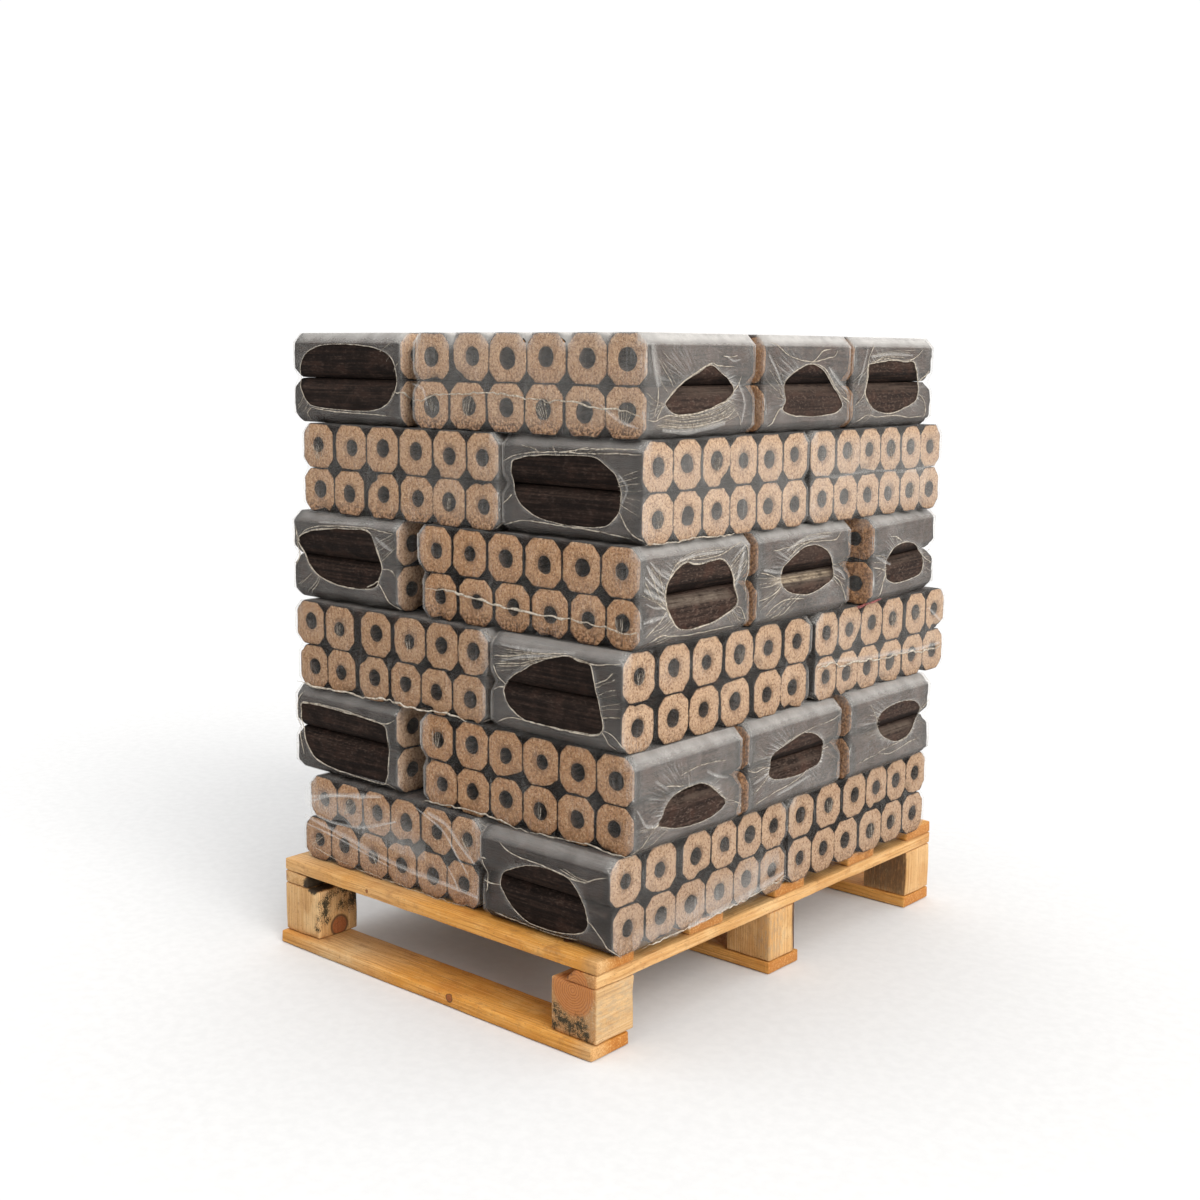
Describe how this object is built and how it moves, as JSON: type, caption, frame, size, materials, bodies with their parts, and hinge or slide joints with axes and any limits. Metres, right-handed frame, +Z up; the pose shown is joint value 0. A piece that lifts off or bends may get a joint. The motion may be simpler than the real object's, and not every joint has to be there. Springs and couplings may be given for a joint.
{
  "type": "pallet of oak briquettes",
  "caption": "Half-size timber pallet stacked with shrink-wrapped packs of hollow, eight-sided pressed oak briquettes, in courses that cross for a steady load.",
  "frame": {"origin": "on the floor, under the middle of the pallet", "axes": "+Z up, X along the pallet's short side, Y along its long side; -Y is the side on which two blocks show"},
  "size_m": [0.6588, 0.809, 0.8741],
  "materials": {
    "pallet_timber": "rough-sawn softwood, unfinished, with knots, wane and mould specks",
    "oak_briquette": "pressed sawdust, matt, with dark scorched sides",
    "shrink_film": "clear shrink film, hazy and wrinkled"
  },
  "bodies": {
    "root": {"bottom_board_front": "pallet_timber", "bottom_board_middle": "pallet_timber", "bottom_board_back": "pallet_timber", "block_left_front": "pallet_timber", "block_left_middle": "pallet_timber", "block_left_back": "pallet_timber", "block_right_front": "pallet_timber", "block_right_middle": "pallet_timber", "block_right_back": "pallet_timber", "stringer_left": "pallet_timber", "stringer_right": "pallet_timber", "deck_board_1": "pallet_timber", "deck_board_2": "pallet_timber", "deck_board_3": "pallet_timber", "deck_board_4": "pallet_timber", "deck_board_5": "pallet_timber", "course_1_pack_left_front": "oak_briquette", "course_1_pack_left_middle": "oak_briquette", "course_1_pack_left_back": "oak_briquette", "course_1_pack_right_front": "oak_briquette", "course_1_pack_right_back": "oak_briquette", "course_2_pack_right_front": "oak_briquette", "course_2_pack_right_middle": "oak_briquette", "course_2_pack_right_back": "oak_briquette", "course_2_pack_left_front": "oak_briquette", "course_2_pack_left_back": "oak_briquette", "course_3_pack_left_front": "oak_briquette", "course_3_pack_left_middle": "oak_briquette", "course_3_pack_left_back": "oak_briquette", "course_3_pack_right_front": "oak_briquette", "course_3_pack_right_back": "oak_briquette", "course_4_pack_right_front": "oak_briquette", "course_4_pack_right_middle": "oak_briquette", "course_4_pack_right_back": "oak_briquette", "course_4_pack_left_front": "oak_briquette", "course_4_pack_left_back": "oak_briquette", "course_5_pack_left_front": "oak_briquette", "course_5_pack_left_middle": "oak_briquette", "course_5_pack_left_back": "oak_briquette", "course_5_pack_right_front": "oak_briquette", "course_5_pack_right_back": "oak_briquette", "course_6_pack_right_front": "oak_briquette", "course_6_pack_right_middle": "oak_briquette", "course_6_pack_right_back": "oak_briquette", "course_6_pack_left_front": "oak_briquette", "course_6_pack_left_back": "oak_briquette"}
  },
  "joints": []
}
